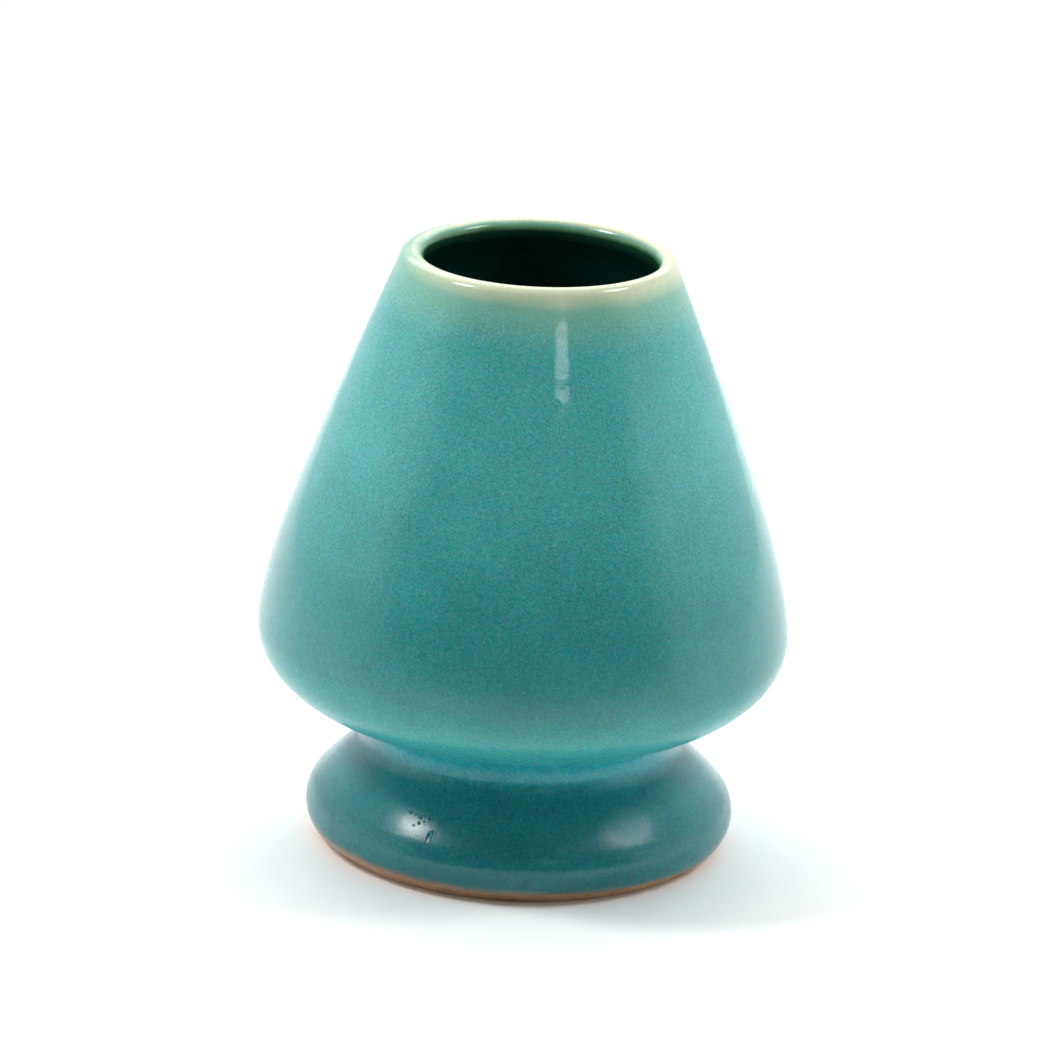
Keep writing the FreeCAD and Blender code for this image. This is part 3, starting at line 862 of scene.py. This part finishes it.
def split_at(points, up):
    """The parts of a falling outline above and below a height, with a point on the height in both."""
    for number, (before, after) in enumerate(zip(points, points[1:])):
        if before.y >= up > after.y:
            cut = before.lerp(after, (before.y - up) / (before.y - after.y))
            return points[: number + 1] + [cut], [cut] + points[number + 1 :]
    raise ValueError(f"the outline doesn't cross {up}")


def refined(points, low, high, step):
    """The outline with extra points between two heights, on the curve through its neighbours."""
    fine = [points[0]]
    for number, (before, after) in enumerate(zip(points, points[1:])):
        count = math.ceil((after - before).length / step) if low < after.y < high else 1
        if count > 1:
            left, right = points[number - 1], points[number + 2]
            start_run, end_run = (after - left) / 2, (right - before) / 2
            fine += [
                geometry.interpolate_bezier(
                    before.to_3d(),
                    (before + start_run / 3).to_3d(),
                    (after - end_run / 3).to_3d(),
                    after.to_3d(),
                    count + 1,
                )[step_number].to_2d()
                for step_number in range(1, count)
            ]
        fine.append(after)
    return fine


def thinned(points, step):
    """Every so many points of a skin that can't be seen, with both its ends."""
    return points[:-1:step] + [points[-1]]


def clay_side(sizes, step):
    """The clay's surface under the outer glaze, as the parts of the bulb, the slip and the foot."""
    clay = sunk(outside(sizes, step), outer_coat, sizes, 1)
    bulb, rest = split_at(clay, BULB_LOW[2])
    slip, foot = split_at(rest, FOOT_HIGH[2])
    return bulb, slip, foot


class STAND_OT_bulb(bpy.types.Operator):
    """Throws the hollow clay bulb"""

    bl_idname = "stand.bulb"
    bl_label = "Bulb"

    def execute(self, context):
        sizes, making, tints = settings()
        outer, _, _ = clay_side(sizes, making.ring_step)
        cavity = sunk(inside(sizes, making.ring_step), inner_coat, sizes, -1)
        outline = thinned(outer, HIDDEN_STEP) + [Vector((0, BULB_LOW[2]))]
        outline += thinned(cavity, HIDDEN_STEP)[::-1][:-1]
        piece = lathe("bulb_body", outline, Thrown(sizes, making), even_angles(HIDDEN_SEGMENTS))
        seat_piece(piece, "bulb", clay_material("bulb_clay", tints, 0.3, mm(0.03)))
        return {"FINISHED"}


class STAND_OT_foot(bpy.types.Operator):
    """Throws the clay foot, with its bare bevel and standing ring"""

    bl_idname = "stand.foot"
    bl_label = "Foot"

    def execute(self, context):
        sizes, making, tints = settings()
        _, _, outer = clay_side(sizes, making.ring_step)
        outline = thinned(outer, HIDDEN_STEP) + foot_underside(sizes, outer[-1])
        piece = lathe("foot_ring", outline, Thrown(sizes, making), even_angles(making.segments), worn)
        seat_piece(piece, "foot", clay_material("foot_clay", tints, 0.35, mm(0.06)))
        return {"FINISHED"}


class STAND_OT_slip(bpy.types.Operator):
    """Joins the foot to the bulb with slip"""

    bl_idname = "stand.slip"
    bl_label = "Luting slip"

    def execute(self, context):
        sizes, making, tints = settings()
        _, edge, _ = clay_side(sizes, making.ring_step)
        bead = recess_bead(sizes)
        arc = trace([bead.rim(recess_inward(sizes)), bead, bead.rim(UPWARD)], BEAD_STEP)
        outline = [edge[0], edge[-1], recess_top(), *arc]
        piece = lathe("slip_joint", outline, Thrown(sizes, making), even_angles(HIDDEN_SEGMENTS))
        seat_piece(piece, "luting_slip", clay_material("slip_clay", tints, 0.5, mm(0.02)))
        return {"FINISHED"}


class STAND_OT_outer_glaze(bpy.types.Operator):
    """Glazes the outside, from the lip to the bevel of the foot"""

    bl_idname = "stand.outer_glaze"
    bl_label = "Outer glaze"

    def execute(self, context):
        sizes, making, tints = settings()
        skin = outside(sizes, making.ring_step)
        clay = sunk(skin, outer_coat, sizes, 1)
        bead = Circle(*((skin[-1] + clay[-1]) / 2), (skin[-1] - clay[-1]).length / 2)
        rolled = trace([skin[-1], bead, clay[-1]], ROLL_STEP)[1:-1]
        skin = refined(skin, *PITTED, FINE_RING_STEP)
        outline = skin + rolled + thinned(clay, HIDDEN_STEP)[::-1]
        marks = Marks(making, sizes)
        thrown = Thrown(sizes, making)
        piece = lathe("glaze_outside", outline, thrown, marks.angles(), marks.finish)
        seat_piece(piece, "outer_glaze", outer_glaze_material(tints, sizes))
        return {"FINISHED"}


class STAND_OT_liner_glaze(bpy.types.Operator):
    """Glazes the cavity, from the lip to the floor"""

    bl_idname = "stand.liner_glaze"
    bl_label = "Liner glaze"

    def execute(self, context):
        sizes, making, tints = settings()
        skin = inside(sizes, making.ring_step)
        cavity = sunk(skin, inner_coat, sizes, -1)
        outline = skin + thinned(cavity, HIDDEN_STEP)[::-1]
        piece = lathe("glaze_inside", outline, Thrown(sizes, making), even_angles(making.segments))
        seat_piece(piece, "liner_glaze", liner_glaze_material(tints))
        return {"FINISHED"}


class STAND_OT_recess_glaze(bpy.types.Operator):
    """Washes glaze over the recess under the foot"""

    bl_idname = "stand.recess_glaze"
    bl_label = "Recess glaze"

    def execute(self, context):
        sizes, making, tints = settings()
        bead = recess_bead(sizes)
        inward = recess_inward(sizes)
        wiped = RECESS_LOW[2] / FOOT_HIGH[2]
        end = recess_foot(sizes) + (recess_top() - recess_foot(sizes)) * wiped
        roof = Vector((0, BULB_LOW[2]))
        backed = [roof, None, bead.rim(UPWARD), bead, bead.rim(-inward), None, end]
        backed = trace(backed, RECESS_STEP)
        coat = sizes.liner_glaze
        skin_bead = Circle(*bead.centre, bead.radius - coat)
        skin_end = end + inward * coat
        shown = [skin_end, None, skin_bead.rim(-inward), skin_bead, skin_bead.rim(UPWARD)]
        shown = trace([*shown, None, roof - Vector((0, coat))], RECESS_STEP)
        rolled = Circle(*((end + skin_end) / 2), coat / 2)
        edge = trace([end, rolled, skin_end], ROLL_STEP)[1:-1]
        outline = backed + edge + shown
        angles = even_angles(making.segments // 2)
        piece = lathe("glaze_recess", outline, Thrown(sizes, making), angles)
        seat_piece(piece, "recess_glaze", recess_glaze_material(tints))
        return {"FINISHED"}


# ---------------------------------------------------------------- under the foot


def recess_foot(sizes):
    """Where the recess meets the table."""
    return Vector((sizes.foot_radius - sizes.standing_ring, 0))


def recess_top():
    """Where the recess meets the slip, at the top of the foot."""
    slip_low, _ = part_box("luting_slip")
    corners = [vertex.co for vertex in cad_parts["foot"].data.vertices]
    top = [corner for corner in corners if corner.z > FOOT_HIGH[2] - NEARLY_ZERO]
    return Vector((min(corner.xy.length for corner in top), slip_low[2]))


def recess_inward(sizes):
    """The direction straight out of the recess's sloping wall, towards the axis."""
    slope = (recess_top() - recess_foot(sizes)).normalized()
    return Vector((-slope.y, slope.x))


def recess_bead(sizes):
    """The bead of slip in the corner between the recess's wall and the bulb."""
    inward = recess_inward(sizes)
    on_line = recess_foot(sizes) + inward * sizes.bead_round
    slope = Vector((inward.y, -inward.x))
    rise = BULB_LOW[2] - sizes.bead_round - on_line.y
    centre = on_line + slope * (rise / slope.y)
    return Circle(*centre, sizes.bead_round)


def foot_underside(sizes, glaze_end):
    """The bare bevel, the standing ring with its eased edges, and the recess up to the slip."""
    edge = Vector((sizes.foot_radius - sizes.foot_edge_round, sizes.foot_edge_height))
    across = glaze_end - edge
    bevel = Vector((across.y, -across.x)).normalized()
    corner = glaze_end + bevel * (-glaze_end.y / bevel.y)
    inner = recess_foot(sizes)
    ease = sizes.ring_ease
    stops = [glaze_end]
    for point, before, after in (
        (corner, glaze_end, inner),
        (inner, corner, recess_top()),
    ):
        back, on = (before - point).normalized(), (after - point).normalized()
        half = back.angle(on) / 2
        centre = point + (back + on).normalized() * (ease / math.sin(half))
        reach = ease / math.tan(half)
        stops += [None, point + back * reach, Circle(*centre, ease), point + on * reach]
    stops += [None, recess_top()]
    return trace(stops, BEVEL_STEP)[1:]


def worn(point, across, turn, up):
    """Rubs the bare clay of the foot a little, and leaves it sandy."""
    bare = 1 - eased(up, *BARE_TO_GLAZED)
    grit = noise.noise(point / FINE_GRIT) * FINE_GRIT_PUSH
    grit += noise.noise(point / COARSE_GRIT) * COARSE_GRIT_PUSH
    direction = Vector((math.cos(turn), math.sin(turn), 0))
    pushed = point - direction * (abs(grit) + grit) * bare
    pushed.z = max(pushed.z + abs(grit) * eased(up, 0, mm(0.3)) * bare, 0)
    return pushed


class Marks:
    """The wandering glaze line, and the pinholes and small crater in the foot's glaze."""

    def __init__(self, making, sizes):
        self.making = making
        self.sizes = sizes
        self.window = [math.radians(turn) for turn in PITTED_TURN]
        self.pits = [
            (math.radians(turn), mm(up), mm(radius), mm(depth)) for turn, up, radius, depth in PITS
        ]

    def angles(self):
        """Even steps, with finer ones across the pitted part of the foot."""
        first, last = self.window
        even = even_angles(self.making.segments)
        coarse = [turn for turn in even if not first < turn < last]
        fine_step = (last - first) / FINE_SEGMENTS
        fine = [first + fine_step * number for number in range(FINE_SEGMENTS + 1)]
        return sorted(coarse + fine)

    def finish(self, point, across, turn, up):
        """Lowers or lifts the glaze line, and dents the skin at each pit."""
        low = 1 - eased(up, GLAZE_LOW[2], self.sizes.foot_edge_height)
        around = Vector((math.cos(turn), math.sin(turn), 0))
        drift = sum(share * noise.noise(around * pace) for pace, share in LINE_WAVES)
        point = point + Vector((0, 0, self.making.line_wander * drift * low))
        if not (PITTED[0] <= up <= PITTED[1] and self.window[0] < turn < self.window[1]):
            return point
        sunk_by = 0
        for centre, height, radius, depth in self.pits:
            gap = Vector(((turn - centre) * across, (up - height) / LEAN)).length / radius
            rim = PIT_RIM_HEIGHT * math.exp(-(((gap - PIT_RIM_REACH) / PIT_RIM_WIDTH) ** 2))
            sunk_by += depth * (math.exp(-((gap / PIT_CORE) ** 4)) - rim)
        return point - (around + Vector((0, 0, 1))).normalized() * sunk_by


# ---------------------------------------------------------------- stage


def direction_of(azimuth, elevation):
    """The direction towards an azimuth and an elevation."""
    level = math.cos(elevation)
    return Vector((math.sin(azimuth) * level, -math.cos(azimuth) * level, math.sin(elevation)))


def middle():
    return (cad_low + cad_high) / 2


def area_lamp(name, stand_at, face, brightness, shape):
    """A soft lamp at (azimuth, elevation, metres away), with its (wide, tall) face to the stand."""
    azimuth, elevation, away = stand_at
    lamp = bpy.data.lights.new(name, "AREA")
    lamp.shape = shape
    lamp.size, lamp.size_y = face
    lamp.energy = brightness * math.pi * face[0] * face[1]
    item = bpy.data.objects.new(name, lamp)
    bpy.context.scene.collection.objects.link(item)
    towards = direction_of(math.radians(azimuth), math.radians(elevation))
    item.location = middle() + towards * away
    item.rotation_euler = towards.to_track_quat("Z", "Y").to_euler()


def make_camera(stage):
    camera = bpy.data.objects.new("camera", bpy.data.cameras.new("camera"))
    bpy.context.scene.collection.objects.link(camera)
    bpy.context.scene.camera = camera
    camera.data.lens = stage.lens
    back = direction_of(0, stage.elevation)
    right = Vector((1, 0, 0))
    up = back.cross(right)
    eye = middle() + back * stage.distance
    aim = middle() + up * stage.aim_up + right * stage.aim_right
    behind = (eye - aim).normalized()
    level_right = Vector((0, 0, 1)).cross(behind).normalized()
    level_up = behind.cross(level_right)
    across = level_right * math.cos(stage.roll) + level_up * math.sin(stage.roll)
    upward = level_up * math.cos(stage.roll) - level_right * math.sin(stage.roll)
    turn = Matrix((across, upward, behind)).transposed().to_4x4()
    camera.matrix_world = Matrix.Translation(eye) @ turn
    camera.data.clip_start, camera.data.clip_end = CLIP


def make_world(stage):
    """A tent that is white where it shows. As a light and in reflections its front is dark."""
    world = bpy.data.worlds.new("tent")
    bpy.context.scene.world = world
    world.use_nodes = True
    world.node_tree.nodes.clear()
    nodes = Nodes(world.node_tree)
    path = nodes.add("ShaderNodeLightPath", {}).outputs
    place = nodes.add("ShaderNodeTexCoord", {}).outputs["Generated"]
    towards = nodes.add("ShaderNodeSeparateXYZ", {"Vector": place}).outputs
    closed = nodes.fade(towards["Y"], *TENT_FRONT)
    roof = nodes.math("MULTIPLY_ADD", nodes.fade(towards["Z"], *TENT_ROOF), stage.roof - 1, 1)
    walls = nodes.math("MULTIPLY", closed, roof)
    tent = nodes.math("MULTIPLY_ADD", walls, 1 - stage.front, stage.front)
    shown = nodes.math("MAXIMUM", path["Is Glossy Ray"], path["Is Transmission Ray"])
    level = nodes.add("ShaderNodeMix", {0: shown, 2: stage.tent, 3: stage.backdrop}).outputs[0]
    lit = nodes.math("MULTIPLY", tent, level)
    strength = nodes.add("ShaderNodeMix", {0: path["Is Camera Ray"], 2: lit, 3: 1.0}).outputs[0]
    tint = {"Color": (1, 1, 1, 1), "Strength": strength}
    background = nodes.add("ShaderNodeBackground", tint)
    nodes.add("ShaderNodeOutputWorld", {"Surface": background.outputs["Background"]})


def make_floor(stage):
    """A sheet of white paper that shows as white, with the stand's shadow on it."""
    mesh = bmesh.new()
    bmesh.ops.create_circle(mesh, cap_ends=True, segments=96, radius=FLOOR_REACH)
    data = bpy.data.meshes.new("floor")
    mesh.to_mesh(data)
    mesh.free()
    floor = bpy.data.objects.new("floor", data)
    bpy.context.scene.collection.objects.link(floor)
    material, nodes, _ = new_material("paper")
    path = nodes.add("ShaderNodeLightPath", {}).outputs
    seen = nodes.math("MAXIMUM", path["Is Glossy Ray"], path["Is Transmission Ray"])
    seen = nodes.math("MAXIMUM", seen, path["Is Camera Ray"])
    shader = nodes.add("ShaderNodeBsdfPrincipled", {
        "Base Color": nodes.mix(seen, (*stage.floor, 1), (1, 1, 1, 1)),
        "Roughness": 1.0,
        "Specular IOR Level": 0.0,
    })
    nodes.add("ShaderNodeOutputMaterial", {"Surface": shader.outputs["BSDF"]})
    data.materials.append(material)


class STAND_OT_stage(bpy.types.Operator):
    """Sets up the paper, the tent, the lamps and the camera"""

    bl_idname = "stand.stage"
    bl_label = "Stage"

    def execute(self, context):
        scene = context.scene
        stage = scene.stage_settings
        scene.view_settings.view_transform = "Standard"
        make_camera(stage)
        make_world(stage)
        make_floor(stage)
        area_lamp("lamp_left", (-82, 50.5, 0.6), (0.135, 0.135), stage.left_lamp, "ELLIPSE")
        area_lamp("lamp_right", (87, 49, 0.6), (0.17, 0.17), stage.right_lamp, "ELLIPSE")
        area_lamp("lamp_back", (180, 46, 0.6), (0.7, 0.45), stage.back_lamp, "RECTANGLE")
        area_lamp("lamp_front", (19.6, 28.8, 0.8), (0.11, 0.034), stage.strip_lamp, "RECTANGLE")
        return {"FINISHED"}


# ---------------------------------------------------------------- add-on


PIECES = (
    STAND_OT_bulb,
    STAND_OT_foot,
    STAND_OT_slip,
    STAND_OT_outer_glaze,
    STAND_OT_liner_glaze,
    STAND_OT_recess_glaze,
    STAND_OT_stage,
)
GROUPS = {
    "stand_sizes": StandSizes,
    "hand_making": HandMaking,
    "glaze_colours": GlazeColours,
    "stage_settings": StageSettings,
}


class STAND_PT_panel(bpy.types.Panel):
    """The stand's sizes and colours, and a button for each piece"""

    bl_idname = "STAND_PT_panel"
    bl_label = "Whisk Stand"
    bl_space_type = "VIEW_3D"
    bl_region_type = "UI"
    bl_category = "Whisk Stand"

    def draw(self, context):
        for name, group in GROUPS.items():
            box = self.layout.box()
            box.label(text=group.__doc__.split(".")[0])
            for key in group.__annotations__:
                box.prop(getattr(context.scene, name), key)
        for operator in PIECES:
            self.layout.operator(operator.bl_idname)


CLASSES = (*GROUPS.values(), *PIECES, STAND_PT_panel)


def register():
    for item in CLASSES:
        bpy.utils.register_class(item)
    for name, group in GROUPS.items():
        setattr(bpy.types.Scene, name, PointerProperty(type=group))


def unregister():
    for name in GROUPS:
        delattr(bpy.types.Scene, name)
    for item in reversed(CLASSES):
        bpy.utils.unregister_class(item)


def main():
    register()
    build_mottle()
    build_clay_grain()
    for operator in PIECES:
        family, name = operator.bl_idname.split(".")
        getattr(getattr(bpy.ops, family), name)()


if __name__ == "__main__":
    main()
